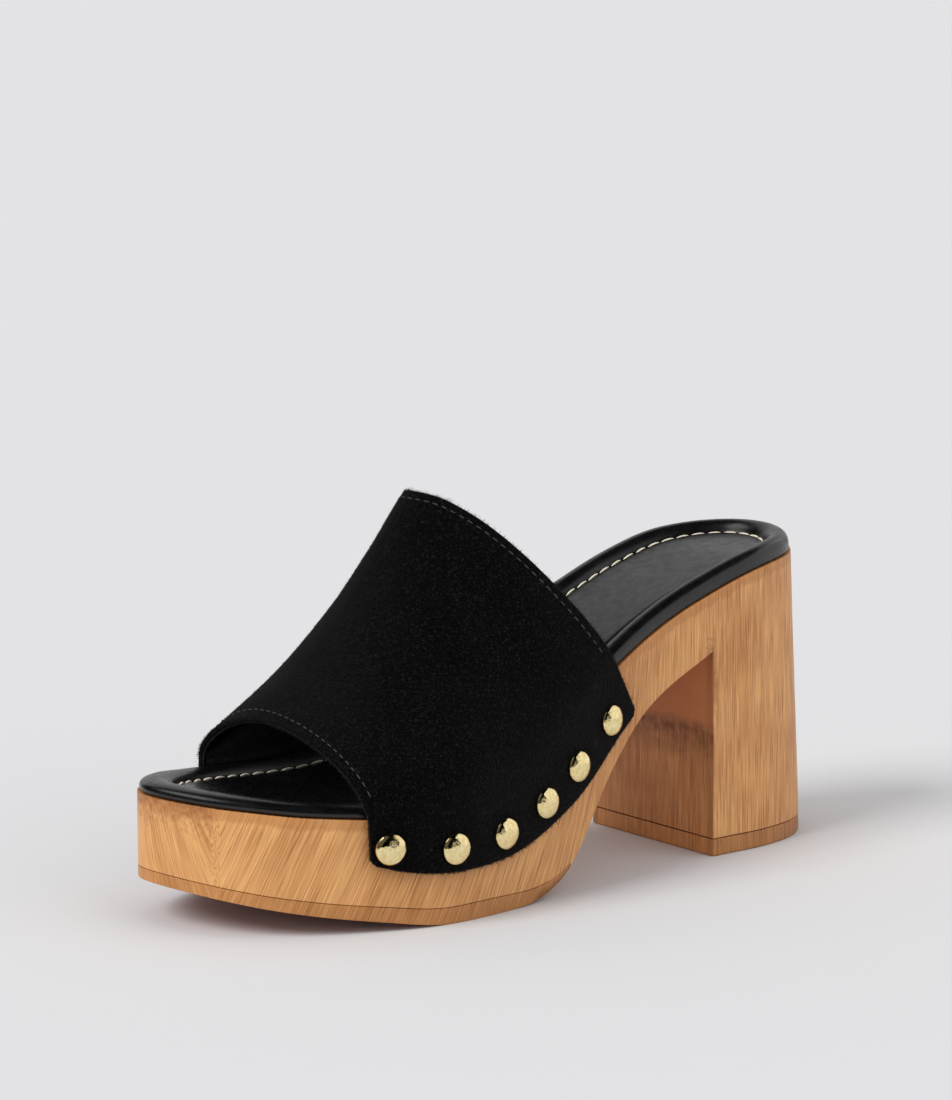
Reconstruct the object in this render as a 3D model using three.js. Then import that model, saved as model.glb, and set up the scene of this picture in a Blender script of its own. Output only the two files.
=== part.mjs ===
// A left-foot platform clog sandal: wooden sole with a block heel, thin treads under the
// forefoot and the heel, a padded leather insole, and one suede band studded to the wood.
//
// Millimetres. +Z is up, the toe points to -Y, and +X is the lateral (outer) side of the foot.
// A "station" is the distance back from the tip of the toe, measured along the floor.

import * as THREE from "three";
import { mergeVertices } from "three/addons/utils/BufferGeometryUtils.js";

// Driving sizes of the sole
const SOLE_LENGTH = 241.4;
const TOE_TIP_X = -9.9;
const HEEL_TIP_X = -0.2;
const BREAST_STATION = 191;
const ARCH_ROOF = 67.2;
const HEEL_FLARE_BACK = 5.7;
const HEEL_FLARE_SIDE = 0.9;
const HEEL_FLARE_BLEND = 40;
const TOP_LIFT_THICKNESS = 6;
const OUTSOLE_END = 124;

// Gap kept between pieces that touch on the real shoe
const GAP = 0.3;

// Half widths of the sole on each side of the heel's centre line
const OUTLINE = [
  { station: 5, lateral: 10, medial: 21.6 },
  { station: 14, lateral: 22.9, medial: 29.1 },
  { station: 28, lateral: 32.9, medial: 35.1 },
  { station: 45, lateral: 40.3, medial: 38.3 },
  { station: 62, lateral: 45.2, medial: 39.7 },
  { station: 78, lateral: 46.6, medial: 39.6 },
  { station: 100, lateral: 44.3, medial: 37.5 },
  { station: 125, lateral: 40.2, medial: 33 },
  { station: 150, lateral: 34.6, medial: 28.2 },
  { station: 172, lateral: 31.1, medial: 28.1 },
  { station: 195, lateral: 30, medial: 29.3 },
  { station: 214, lateral: 29, medial: 27.5 },
  { station: 229, lateral: 23.6, medial: 21.8 },
  { station: 238.5, lateral: 12.4, medial: 12 },
];

// Height of the wood's top edge above the floor
const TOP_EDGE = [
  { station: 0, height: 39.9 },
  { station: 15, height: 38.3 },
  { station: 30, height: 36.3 },
  { station: 60, height: 34.2 },
  { station: 90, height: 37.7 },
  { station: 115, height: 47.6 },
  { station: 140, height: 64 },
  { station: 165, height: 76.2 },
  { station: 190, height: 85.6 },
  { station: 215, height: 92.4 },
  { station: 242, height: 95.2 },
];

// Height of the underside above the floor: toe spring, flat tread, arch
const UNDERSIDE = [
  { station: 0, height: 13.6 },
  { station: 25, height: 7.6 },
  { station: 50, height: 3.2 },
  { station: 74, height: 0 },
  { station: 98, height: 0 },
  { station: 104, height: 0.25 },
  { station: 110, height: 1.4 },
  { station: 116, height: 3.55 },
  { station: 122, height: 7.1 },
  { station: 128, height: 12.8 },
  { station: 136, height: 23.9 },
  { station: 144, height: 34.8 },
  { station: 162, height: 52.5 },
  { station: BREAST_STATION, height: ARCH_ROOF },
];

// Thickness of the forefoot's outsole, which feathers out up the arch
const OUTSOLE_THICKNESS = [
  { station: 0, thickness: 3.6 },
  { station: 40, thickness: 4.4 },
  { station: 85, thickness: 5.2 },
  { station: 100, thickness: 4.8 },
  { station: 112, thickness: 3.5 },
  { station: OUTSOLE_END, thickness: 1.2 },
];

// Section of the insole from its outer edge inwards: a rolled rim, then a sunken bed
const ROLL_FOOT_INSET = 0.6;
const INSOLE_RIM = [
  { inset: 1, rise: GAP },
  { inset: ROLL_FOOT_INSET, rise: 1.8 },
  { inset: 1.2, rise: 3.6 },
  { inset: 3.1, rise: 5.4 },
  { inset: 5.6, rise: 6 },
  { inset: 7.7, rise: 5.2 },
  { inset: 9.3, rise: 3.2 },
  { inset: 10.6, rise: 3 },
];

// The roll is wider and flatter at the toe: factors on the section's insets and rises
const ROLL_SHAPE = [
  { station: 0, width: 1.3, height: 0.68 },
  { station: 50, width: 1.2, height: 0.72 },
  { station: 150, width: 1, height: 1 },
  { station: 240, width: 0.95, height: 1.03 },
];

// Driving sizes of the band. Its sections stand square to the wood's top edge.
const LEATHER = 2.6;
const BAND_STRAIGHT_RISE = 6;
const BAND_STEPS_ALONG = 22;
const BAND_STEPS_ARCH = 20;
const BAND_STEPS_SIDE = 5;

// Arch of the band over the foot: height above the wood's edge, place of the ridge, backward
// lean of the section, and how full the crown and the flank are on each side (0.55 is an
// ellipse, less is leaner)
const ARCH = [
  { station: 36, height: 19.2, ridge: -6.5, lean: -3 },
  { station: 50, height: 31.3, ridge: -7.2, lean: 0 },
  { station: 75, height: 46.9, ridge: -8.3, lean: 8 },
  { station: 100, height: 59.3, ridge: -9.1, lean: 18 },
  { station: 125, height: 67.8, ridge: -9.8, lean: 28 },
  { station: 150, height: 74.9, ridge: -10.3, lean: 34 },
];
const FULLNESS = {
  lateral: [
    { station: 25, crown: 0.48, flank: 0.41 },
    { station: 90, crown: 0.47, flank: 0.47 },
    { station: 150, crown: 0.34, flank: 0.39 },
  ],
  medial: [
    { station: 25, crown: 0.5, flank: 0.43 },
    { station: 90, crown: 0.54, flank: 0.54 },
    { station: 150, crown: 0.44, flank: 0.51 },
  ],
};

// How far the band reaches down over the side of the wood
const BAND_OVERLAP = [
  { station: 35, depth: 11.1 },
  { station: 60, depth: 16.4 },
  { station: 75, depth: 18.8 },
  { station: 92, depth: 20.2 },
  { station: 110, depth: 20 },
  { station: 122, depth: 19.1 },
  { station: 135, depth: 17.7 },
  { station: 145, depth: 16.2 },
];

// Stations of the band's two cut edges, from the medial side (-1) over the ridge to the lateral (1)
const TOE_CUT = [
  { across: -1, station: 40 },
  { across: 0, station: 40 },
  { across: 0.5, station: 40.5 },
  { across: 0.8, station: 42 },
  { across: 1, station: 44 },
];
const COLLAR_CUT = [
  { across: -1, station: 144.4 },
  { across: -0.5, station: 142.2 },
  { across: 0, station: 137 },
  { across: 0.2, station: 140.6 },
  { across: 0.35, station: 143.2 },
  { across: 0.5, station: 144.6 },
  { across: 0.8, station: 145.9 },
  { across: 1, station: 145.1 },
];
// Share of the "across" count that the arch takes, the rest being the straight side
const ARCH_SHARE = 0.82;

// Studs: domed metal, in a row near the band's lower edge on each side
const STUD_RADIUS = 4.95;
const STUD_DOME = 2.1;
const STUD_RIM = 0.3;
const STUD_SEGMENTS = 20;
const STUD_DOME_STEPS = 5;
const STUD_PLACES = [
  { station: 50.6, fromEdge: 6.4 },
  { station: 70.9, fromEdge: 7.5 },
  { station: 89.2, fromEdge: 7.9 },
  { station: 105.8, fromEdge: 8.4 },
  { station: 120, fromEdge: 8.9 },
  { station: 135.7, fromEdge: 7.8 },
];

// Cross sections cut along the sole, closer together at the two ends
const SOLE_SECTIONS = 44;
const OUTLINE_SAMPLES = 720;

// Finishes
const WOOD = { color: 0xcf9a63, roughness: 0.5, metalness: 0 };
const WOOD_EDGE = { color: 0xb97f4a, roughness: 0.55, metalness: 0 };
const BLACK_LEATHER = { color: 0x17171a, roughness: 0.4, metalness: 0 };
const BLACK_SUEDE = { color: 0x0c0c0d, roughness: 0.95, metalness: 0 };
const GOLD_METAL = { color: 0xd9b25f, roughness: 0.2, metalness: 1 };

// Smooth value of one column of a table, with no overshoot between its rows
function smooth(rows, column, value, along = "station") {
  const last = rows.length - 1;
  const steep = (i) => (rows[i + 1][column] - rows[i][column]) / (rows[i + 1][along] - rows[i][along]);
  const slope = (i) => {
    if (i === 0) return steep(0);
    if (i === last) return steep(last - 1);
    const before = steep(i - 1);
    const after = steep(i);
    return before * after > 0 ? (2 * before * after) / (before + after) : 0;
  };
  const at = THREE.MathUtils.clamp(value, rows[0][along], rows[last][along]);
  let row = 0;
  while (row < last - 1 && at > rows[row + 1][along]) row += 1;
  const span = rows[row + 1][along] - rows[row][along];
  const t = (at - rows[row][along]) / span;
  const keepFirst = 1 - t * t * (3 - 2 * t);
  return (
    keepFirst * rows[row][column] +
    (1 - keepFirst) * rows[row + 1][column] +
    t * (1 - t) * span * ((1 - t) * slope(row) - t * slope(row + 1))
  );
}

// The sole's outline seen from above: one closed curve, x across and y holding the station
const outlineSamples = new THREE.CatmullRomCurve3(
  [
    new THREE.Vector3(TOE_TIP_X, 0, 0),
    ...OUTLINE.map((row) => new THREE.Vector3(row.lateral, row.station, 0)),
    new THREE.Vector3(HEEL_TIP_X, SOLE_LENGTH, 0),
    ...OUTLINE.toReversed().map((row) => new THREE.Vector3(-row.medial, row.station, 0)),
  ],
  true,
  "centripetal",
).getPoints(OUTLINE_SAMPLES);
const byStation = (a, b) => a.y - b.y;
const toeTip = outlineSamples.toSorted(byStation)[0];
const heelTip = outlineSamples.toSorted(byStation).at(-1);
const tipLine = (station) => THREE.MathUtils.mapLinear(station, toeTip.y, heelTip.y, toeTip.x, heelTip.x);
const edgeSamples = {
  lateral: [toeTip, ...outlineSamples.filter((p) => p.x > tipLine(p.y)).sort(byStation), heelTip],
  medial: [toeTip, ...outlineSamples.filter((p) => p.x < tipLine(p.y)).sort(byStation), heelTip],
};

// X of the sole's edge at a station
function edgeX(side, station) {
  const samples = edgeSamples[side];
  const at = THREE.MathUtils.clamp(station, toeTip.y, heelTip.y);
  const next = Math.max(1, samples.findIndex((p) => p.y >= at));
  const before = samples[next - 1];
  const after = samples[next];
  return THREE.MathUtils.mapLinear(at, before.y, after.y, before.x, after.x);
}

const stationY = (station) => station - SOLE_LENGTH / 2;
const topEdge = (station) => smooth(TOP_EDGE, "height", station);
const underside = (station) => smooth(UNDERSIDE, "height", station);

// Closed solid through sections of equal length. Each end is closed by rungs from the first
// and last points of its section inwards.
function loft(sections) {
  const size = sections[0].length;
  const positions = sections.flat().flatMap((p) => [p.x, p.y, p.z]);
  const index = [];
  const quad = (a, b, c, d) => index.push(a, b, c, a, c, d);
  for (let s = 0; s < sections.length - 1; s += 1) {
    for (let i = 0; i < size; i += 1) {
      const j = (i + 1) % size;
      quad(s * size + i, s * size + j, (s + 1) * size + j, (s + 1) * size + i);
    }
  }
  const lastStart = (sections.length - 1) * size;
  for (let i = 0; i < size / 2 - 1; i += 1) {
    const far = size - 1 - i;
    quad(i, far, far - 1, i + 1);
    quad(lastStart + i, lastStart + i + 1, lastStart + far - 1, lastStart + far);
  }
  return closedGeometry(positions, index);
}

// Indexed geometry with shared corners, no collapsed triangles, and faces that point outwards
function closedGeometry(positions, index) {
  const loose = new THREE.BufferGeometry();
  loose.setAttribute("position", new THREE.Float32BufferAttribute(positions, 3));
  loose.setIndex(index);
  const geometry = mergeVertices(loose, 1e-4);
  const corners = geometry.getIndex().array;
  const point = geometry.getAttribute("position");
  const kept = [];
  const [a, b, c] = [new THREE.Vector3(), new THREE.Vector3(), new THREE.Vector3()];
  let volume = 0;
  for (let i = 0; i < corners.length; i += 3) {
    const triangle = [corners[i], corners[i + 1], corners[i + 2]];
    if (new Set(triangle).size < 3) continue;
    kept.push(triangle);
    a.fromBufferAttribute(point, triangle[0]);
    b.fromBufferAttribute(point, triangle[1]);
    c.fromBufferAttribute(point, triangle[2]);
    volume += a.dot(b.cross(c));
  }
  const outward = volume > 0 ? kept : kept.map((triangle) => triangle.toReversed());
  geometry.setIndex(outward.flat());
  geometry.computeVertexNormals();
  return geometry;
}

function piece(name, geometry, finish) {
  const mesh = new THREE.Mesh(geometry, new THREE.MeshStandardMaterial(finish));
  mesh.name = name;
  return mesh;
}

// Stations along the sole, crowded at toe and heel where the outline turns
const soleStations = Array.from({ length: SOLE_SECTIONS + 1 }, (_, i) =>
  THREE.MathUtils.mapLinear(-Math.cos((Math.PI * i) / SOLE_SECTIONS), -1, 1, toeTip.y, heelTip.y),
);

// Stations between two limits that keep clear of the given fixed ones, with those put in
function stationsBetween(from, to, fixed) {
  const clear = (station) => fixed.every((other) => Math.abs(other - station) > 1);
  const free = soleStations.filter((station) => station >= from && station <= to && clear(station));
  return [...free, ...fixed].sort((a, b) => a - b);
}

// Corner of the wood at a height. The heel block spreads towards the floor.
function woodCorner(side, station, height) {
  const sign = side === "lateral" ? 1 : -1;
  const drop = THREE.MathUtils.clamp(1 - height / topEdge(station), 0, 1);
  const heelSide = THREE.MathUtils.smoothstep(station, BREAST_STATION - HEEL_FLARE_BLEND, BREAST_STATION);
  const tip = 1 - THREE.MathUtils.smoothstep(station, heelTip.y - 1, heelTip.y);
  const heelBack = Math.max(0, (station - BREAST_STATION) / (heelTip.y - BREAST_STATION)) ** 2;
  return new THREE.Vector3(
    edgeX(side, station) + sign * HEEL_FLARE_SIDE * drop * heelSide * tip,
    stationY(station) + HEEL_FLARE_BACK * drop * heelBack,
    height,
  );
}

// Section across the wood at a station, down one side and up the other
function woodSection(station, heights) {
  return [
    ...heights.map((height) => woodCorner("lateral", station, height)),
    ...heights.toReversed().map((height) => woodCorner("medial", station, height)),
  ];
}

const outsoleThickness = (station) => smooth(OUTSOLE_THICKNESS, "thickness", station);

// Platform and block heel in one, with the step that the outsole butts against
function soleGeometry() {
  const rabbetEnd = OUTSOLE_END + GAP;
  const flushFrom = OUTSOLE_END + outsoleThickness(OUTSOLE_END);
  const platform = stationsBetween(toeTip.y, BREAST_STATION, [rabbetEnd, flushFrom, BREAST_STATION]);
  const heel = stationsBetween(BREAST_STATION, heelTip.y, [BREAST_STATION]);
  const platformSections = platform.map((station) => {
    const under = underside(station) + (station <= rabbetEnd ? outsoleThickness(station) + GAP : 0);
    return woodSection(station, [topEdge(station), under, under]);
  });
  const heelSections = heel.map((station) =>
    woodSection(station, [topEdge(station), ARCH_ROOF, TOP_LIFT_THICKNESS]),
  );
  return loft([...platformSections, ...heelSections]);
}

function outsoleGeometry() {
  const stations = stationsBetween(toeTip.y, OUTSOLE_END, [OUTSOLE_END]);
  return loft(
    stations.map((station) =>
      woodSection(station, [underside(station) + outsoleThickness(station), underside(station)]),
    ),
  );
}

function topLiftGeometry() {
  const stations = stationsBetween(BREAST_STATION, heelTip.y, [BREAST_STATION]);
  return loft(stations.map((station) => woodSection(station, [TOP_LIFT_THICKNESS - GAP, 0])));
}

// One ring of the insole's section, laid round the outline and lifted off the wood
function insoleRing(inset, rise) {
  const edge = [
    ...soleStations.map((station) => new THREE.Vector2(edgeX("lateral", station), station)),
    ...soleStations.slice(1, -1).toReversed().map((s) => new THREE.Vector2(edgeX("medial", s), s)),
  ];
  const ring = edge.map((point, i) => {
    const along = edge[(i + 1) % edge.length].clone().sub(edge.at(i - 1)).normalize();
    const inwards = ROLL_FOOT_INSET + (inset - ROLL_FOOT_INSET) * smooth(ROLL_SHAPE, "width", point.y);
    const upwards = GAP + (rise - GAP) * smooth(ROLL_SHAPE, "height", point.y);
    const x = point.x - along.y * inwards;
    const station = point.y + along.x * inwards;
    return new THREE.Vector3(x, stationY(station), topEdge(station) + upwards);
  });
  return [...ring.slice(0, SOLE_SECTIONS + 1), ...ring.slice(SOLE_SECTIONS), ring[0]];
}

function insoleGeometry() {
  return loft(INSOLE_RIM.map((row) => insoleRing(row.inset, row.rise)));
}

function bezier(t, a, b, c, d) {
  const u = 1 - t;
  return u * u * u * a + 3 * u * u * t * b + 3 * u * t * t * c + t * t * t * d;
}

// X of the band's outer face beside the wood, square to the outline
function bandFootX(side, station) {
  const step = 1;
  const slope = (edgeX(side, station + step) - edgeX(side, station - step)) / (2 * step);
  const reach = (GAP + LEATHER) * Math.hypot(1, slope);
  return edgeX(side, station) + (side === "lateral" ? reach : -reach);
}

// Point on the band's outer face. "Climb" runs from -1 at the lower edge through 0, where the
// arch springs from the straight side, to 1 on the ridge.
function bandPoint(side, station, climb) {
  const lean = THREE.MathUtils.degToRad(smooth(ARCH, "lean", station));
  const height = smooth(ARCH, "height", station);
  const ridge = smooth(ARCH, "ridge", station);
  const crown = smooth(FULLNESS[side], "crown", station);
  const flank = smooth(FULLNESS[side], "flank", station);
  const depth = smooth(BAND_OVERLAP, "depth", station);
  const straight = THREE.MathUtils.mapLinear(climb, -1, 0, -depth, BAND_STRAIGHT_RISE);
  const shoulder = THREE.MathUtils.lerp(BAND_STRAIGHT_RISE, height, flank);
  const rise = climb < 0 ? straight : bezier(climb, BAND_STRAIGHT_RISE, shoulder, height, height);
  const footStation = station - Math.sin(lean) * Math.min(rise, BAND_STRAIGHT_RISE);
  const foot = bandFootX(side, footStation);
  const crownX = THREE.MathUtils.lerp(ridge, foot, crown);
  return new THREE.Vector3(
    climb < 0 ? foot : bezier(climb, foot, foot, crownX, ridge),
    stationY(station) - rise * Math.sin(lean),
    topEdge(station) + rise * Math.cos(lean),
  );
}

// Point on the band by its share of the way from the toe cut to the collar cut
function bandPointAlong(share, side, climb) {
  const sign = side === "lateral" ? 1 : -1;
  const across = sign * (climb < 0 ? ARCH_SHARE - (1 - ARCH_SHARE) * climb : ARCH_SHARE * (1 - climb));
  const from = smooth(TOE_CUT, "station", across, "across");
  const to = smooth(COLLAR_CUT, "station", across, "across");
  return bandPoint(side, THREE.MathUtils.lerp(from, to, share), climb);
}

// Outward direction of the band's face at a point
function bandNormal(share, side, climb) {
  const step = 0.01;
  const along = bandPointAlong(share + step, side, climb).sub(bandPointAlong(share - step, side, climb));
  const low = Math.max(-1, climb - step);
  const high = Math.min(1, climb + step);
  const up = bandPointAlong(share, side, high).sub(bandPointAlong(share, side, low));
  return side === "lateral" ? along.cross(up).normalize() : up.cross(along).normalize();
}

// The band: one wall of leather, closed round its four edges
function upperGeometry() {
  const sideClimbs = Array.from({ length: BAND_STEPS_SIDE }, (_, i) => i / BAND_STEPS_SIDE - 1);
  const archClimbs = Array.from({ length: BAND_STEPS_ARCH / 2 }, (_, i) => (2 * i) / BAND_STEPS_ARCH);
  const climbs = [...sideClimbs, ...archClimbs];
  const columns = [
    ...climbs.map((climb) => ({ side: "medial", climb })),
    { side: "lateral", climb: 1 },
    ...climbs.toReversed().map((climb) => ({ side: "lateral", climb })),
  ];
  const sections = Array.from({ length: BAND_STEPS_ALONG + 1 }, (_, i) => {
    const share = i / BAND_STEPS_ALONG;
    const outer = columns.map(({ side, climb }) => bandPointAlong(share, side, climb));
    const inner = columns.map(({ side, climb }, n) =>
      outer[n].clone().addScaledVector(bandNormal(share, side, climb), -LEATHER),
    );
    return [...outer, ...inner.toReversed()];
  });
  return loft(sections);
}

// Domed stud, standing on its flat back along +Z
function studGeometry() {
  const dome = Array.from({ length: STUD_DOME_STEPS + 1 }, (_, i) => {
    const angle = (Math.PI / 2) * (i / STUD_DOME_STEPS);
    return new THREE.Vector2(STUD_RADIUS * Math.cos(angle), STUD_RIM + STUD_DOME * Math.sin(angle));
  });
  dome.at(-1).x = 0;
  const lathe = new THREE.LatheGeometry(
    [new THREE.Vector2(0, 0), new THREE.Vector2(STUD_RADIUS, 0), ...dome],
    STUD_SEGMENTS,
  );
  lathe.rotateX(Math.PI / 2);
  return closedGeometry([...lathe.getAttribute("position").array], [...lathe.getIndex().array]);
}

function stud(side, { station, fromEdge }, number) {
  const depth = smooth(BAND_OVERLAP, "depth", station);
  const climb = THREE.MathUtils.mapLinear(fromEdge, 0, depth + BAND_STRAIGHT_RISE, -1, 0);
  const step = 0.5;
  const back = bandPoint(side, station + step, climb);
  const front = bandPoint(side, station - step, climb);
  const above = bandPoint(side, station, climb + 0.01);
  const seat = bandPoint(side, station, climb);
  const along = back.sub(front);
  const up = above.sub(seat);
  const outward = side === "lateral" ? along.cross(up).normalize() : up.cross(along).normalize();
  const mesh = piece(`stud_${side}_${number}`, studGeometry(), GOLD_METAL);
  mesh.position.copy(seat).addScaledVector(outward, GAP);
  mesh.quaternion.setFromUnitVectors(new THREE.Vector3(0, 0, 1), outward);
  return mesh;
}

const shoe = new THREE.Group();
shoe.add(piece("sole", soleGeometry(), WOOD));
shoe.add(piece("outsole", outsoleGeometry(), WOOD_EDGE));
shoe.add(piece("top_lift", topLiftGeometry(), WOOD_EDGE));
shoe.add(piece("insole", insoleGeometry(), BLACK_LEATHER));
shoe.add(piece("upper", upperGeometry(), BLACK_SUEDE));
for (const side of ["lateral", "medial"]) {
  STUD_PLACES.forEach((place, i) => shoe.add(stud(side, place, i + 1)));
}

// The origin is on the floor at the centre of the box that the shoe stands in
const box = new THREE.Box3().setFromObject(shoe, true);
const centre = box.getCenter(new THREE.Vector3());
shoe.position.set(-centre.x, -centre.y, 0);

const model = new THREE.Group();
model.add(shoe);
export default model;
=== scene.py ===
# %% [markdown]
# # A platform clog, made the way its maker makes it
#
# The real shoe is a carved wooden sole with a block heel, thin treads under forefoot and heel, a
# padded leather insole and one suede band that is tacked to the wood with domed studs. The packed
# CAD model fixes every size and place. Blender's share is the surfaces: rounded edges, stitches,
# nap and grain. All shapes are worked out in millimetres in the maker's own terms, where a
# "station" is the distance back from the toe, and only the last step turns them to metres.

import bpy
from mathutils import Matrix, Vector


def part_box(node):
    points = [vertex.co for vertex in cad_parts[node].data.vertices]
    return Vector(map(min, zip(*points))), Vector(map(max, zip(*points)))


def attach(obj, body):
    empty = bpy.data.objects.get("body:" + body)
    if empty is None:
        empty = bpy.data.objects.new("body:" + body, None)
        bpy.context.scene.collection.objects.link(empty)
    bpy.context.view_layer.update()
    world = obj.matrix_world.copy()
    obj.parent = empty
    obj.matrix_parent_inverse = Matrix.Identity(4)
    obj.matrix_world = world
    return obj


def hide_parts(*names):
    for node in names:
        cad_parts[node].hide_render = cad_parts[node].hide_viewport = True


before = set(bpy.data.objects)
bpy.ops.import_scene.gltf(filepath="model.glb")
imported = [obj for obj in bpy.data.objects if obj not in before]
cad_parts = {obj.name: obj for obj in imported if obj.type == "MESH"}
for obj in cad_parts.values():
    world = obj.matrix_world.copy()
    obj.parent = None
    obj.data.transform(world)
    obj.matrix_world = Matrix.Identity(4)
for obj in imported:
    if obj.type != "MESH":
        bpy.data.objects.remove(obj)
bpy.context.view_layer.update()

# %% Tools used below
import bisect
import math
import random

import bmesh
import bpy
from mathutils import Matrix, Vector, geometry, kdtree, noise

scene = bpy.context.scene
MM = 0.001

# %% [markdown]
# ## Camera
#
# The photograph was taken from the outer side, in front of the shoe and a little above it, with a
# long lens. The camera is solved from the edges of the sole: its aim, its distance and its lens
# are known, so it is placed once and the shoe isn't moved to suit it.

# %% Camera at the photograph's viewpoint
CAMERA_AIM = Vector((-4.37, -4.19, 103.39)) * MM
CAMERA_AZIMUTH = 51.95
CAMERA_ELEVATION = 9.62
CAMERA_DISTANCE = 1331.65 * MM
SENSOR = 36.0
FOCAL_PIXELS = 4250.8
PHOTO_HEIGHT = 1100


def direction(azimuth, elevation):
    """Direction towards something at an azimuth and an elevation, in degrees."""
    a, e = math.radians(azimuth), math.radians(elevation)
    return Vector((math.sin(a) * math.cos(e), -math.cos(a) * math.cos(e), math.sin(e)))


camera_data = bpy.data.cameras.new("camera")
camera_data.sensor_width = SENSOR
camera_data.lens = FOCAL_PIXELS * SENSOR / PHOTO_HEIGHT
camera = bpy.data.objects.new("camera", camera_data)
scene.collection.objects.link(camera)
scene.camera = camera
towards_camera = direction(CAMERA_AZIMUTH, CAMERA_ELEVATION)
camera.location = CAMERA_AIM + towards_camera * CAMERA_DISTANCE
camera.rotation_euler = towards_camera.to_track_quat("Z", "Y").to_euler()
print("camera at", camera.location, "lens", round(camera_data.lens, 2))

# %% [markdown]
# ## The maker's tables
#
# A sole is drawn from a few heights and half widths along its length. The tables hold the same
# values as the CAD source. A table is read with a smooth curve that never swings past its rows,
# so a flat tread stays flat.

# %% Sizes of the sole, in millimetres
SOLE_LENGTH = 241.4
BREAST = 191
ARCH_ROOF = 67.2
TOP_LIFT = 6
GAP = 0.3
HEEL_FLARE_BACK = 5.7
HEEL_FLARE_SIDE = 0.9
OUTSOLE_END = 124

HALF_WIDTHS = [  # station, outer side, inner side
    (5, 10, 21.6), (14, 22.9, 29.1), (28, 32.9, 35.1), (45, 40.3, 38.3), (62, 45.2, 39.7),
    (78, 46.6, 39.6), (100, 44.3, 37.5), (125, 40.2, 33), (150, 34.6, 28.2), (172, 31.1, 28.1),
    (195, 30, 29.3), (214, 29, 27.5), (229, 23.6, 21.8), (238.5, 12.4, 12),
]
TOE_TIP = Vector((-9.9, 0, 0))
HEEL_TIP = Vector((-0.2, SOLE_LENGTH, 0))
TOP_EDGE = [
    (0, 39.9), (15, 38.3), (30, 36.3), (60, 34.2), (90, 37.7), (115, 47.6), (140, 64), (165, 76.2),
    (190, 85.6), (215, 92.4), (242, 95.2),
]
UNDERSIDE = [
    (0, 13.6), (25, 7.6), (50, 3.2), (74, 0), (98, 0), (104, 0.25), (110, 1.4), (116, 3.55),
    (122, 7.1), (128, 12.8), (136, 23.9), (144, 34.8), (162, 52.5), (BREAST, ARCH_ROOF),
]
OUTSOLE_THICKNESS = [(0, 3.6), (40, 4.4), (85, 5.2), (100, 4.8), (112, 3.5), (OUTSOLE_END, 1.2)]


# %% Read a table smoothly
def mix(a, b, share):
    return a + (b - a) * share


def ease(value, low, high):
    share = min(1, max(0, (value - low) / (high - low)))
    return share * share * (3 - 2 * share)


def read(table, at, column=1):
    rows = [(row[0], row[column]) for row in table]
    at = min(max(at, rows[0][0]), rows[-1][0])
    steep = [(b[1] - a[1]) / (b[0] - a[0]) for a, b in zip(rows, rows[1:])]
    slopes = [steep[0]]
    for before, after in zip(steep, steep[1:]):
        same_way = before * after > 0
        slopes.append(2 * before * after / (before + after) if same_way else 0)
    slopes.append(steep[-1])
    i = min(max(bisect.bisect_left([row[0] for row in rows], at) - 1, 0), len(rows) - 2)
    span = rows[i + 1][0] - rows[i][0]
    t = (at - rows[i][0]) / span
    second = t * t * (3 - 2 * t)
    bend = (1 - t) * slopes[i] - t * slopes[i + 1]
    return mix(rows[i][1], rows[i + 1][1], second) + t * (1 - t) * span * bend


def top_edge(station):
    return read(TOP_EDGE, station)


def underside(station):
    return read(UNDERSIDE, station)


def outsole_thickness(station):
    return read(OUTSOLE_THICKNESS, station)


print("toe edge", top_edge(0), "heel edge", top_edge(SOLE_LENGTH))

# %% [markdown]
# ## The outline
#
# Seen from above, sole, treads and insole share one outline. It is a closed smooth curve through
# the table's points. Every place on it has a "turn", its number along the curve, and from a turn
# and an inset any ring of the shoe can be found: the wood's wall, the insole's roll, a stitch row.

# %% The outline as a closed curve
SAMPLES_PER_SPAN = 24


def tangent(before, here, after, pace_before, pace_after):
    """Direction of travel at a knot whose neighbours are passed at even pace."""
    both = pace_before + pace_after
    return (here - before) / pace_before - (after - before) / both + (after - here) / pace_after


def draw_outline():
    outer = [Vector((row[1], row[0], 0)) for row in HALF_WIDTHS]
    inner = [Vector((-row[2], row[0], 0)) for row in reversed(HALF_WIDTHS)]
    knots = [TOE_TIP, *outer, HEEL_TIP, *inner]
    count = len(knots)
    points = []
    for i in range(count):
        a, b, c, d = (knots[(i + k) % count] for k in (-1, 0, 1, 2))
        pace = [math.sqrt((q - p).length) for p, q in ((a, b), (b, c), (c, d))]
        leave = tangent(a, b, c, pace[0], pace[1]) * pace[1] / 3
        arrive = tangent(b, c, d, pace[1], pace[2]) * pace[1] / 3
        span = geometry.interpolate_bezier(b, b + leave, c - arrive, c, SAMPLES_PER_SPAN + 1)
        points += span[:-1]
    return points


outline = draw_outline()
TURNS = len(outline)
outward = []
for n, point in enumerate(outline):
    along = outline[(n + 1) % TURNS] - outline[n - 1]
    outward.append(Vector((along.y, -along.x, 0)).normalized())
toe_turn = min(range(-TURNS // 4, TURNS // 4), key=lambda n: outline[n].y)
heel_turn = max(range(TURNS), key=lambda n: outline[n].y)


def rim(turn, inset=0.0):
    """Point of the outline at a turn, moved inwards. Its y is the station."""
    low = math.floor(turn)
    share = turn - low
    point = outline[low % TURNS].lerp(outline[(low + 1) % TURNS], share)
    away = outward[low % TURNS].lerp(outward[(low + 1) % TURNS], share)
    return point - away * inset


def turn_at(side, station, inset=0.0):
    """Turn at which the outline, moved inwards, passes a station on one side."""
    first, last = toe_turn, heel_turn
    if side == "inner":
        first, last = toe_turn + TURNS, heel_turn
    for _ in range(40):
        middle = (first + last) / 2
        if rim(middle, inset).y < station:
            first = middle
        else:
            last = middle
    return (first + last) / 2


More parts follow.
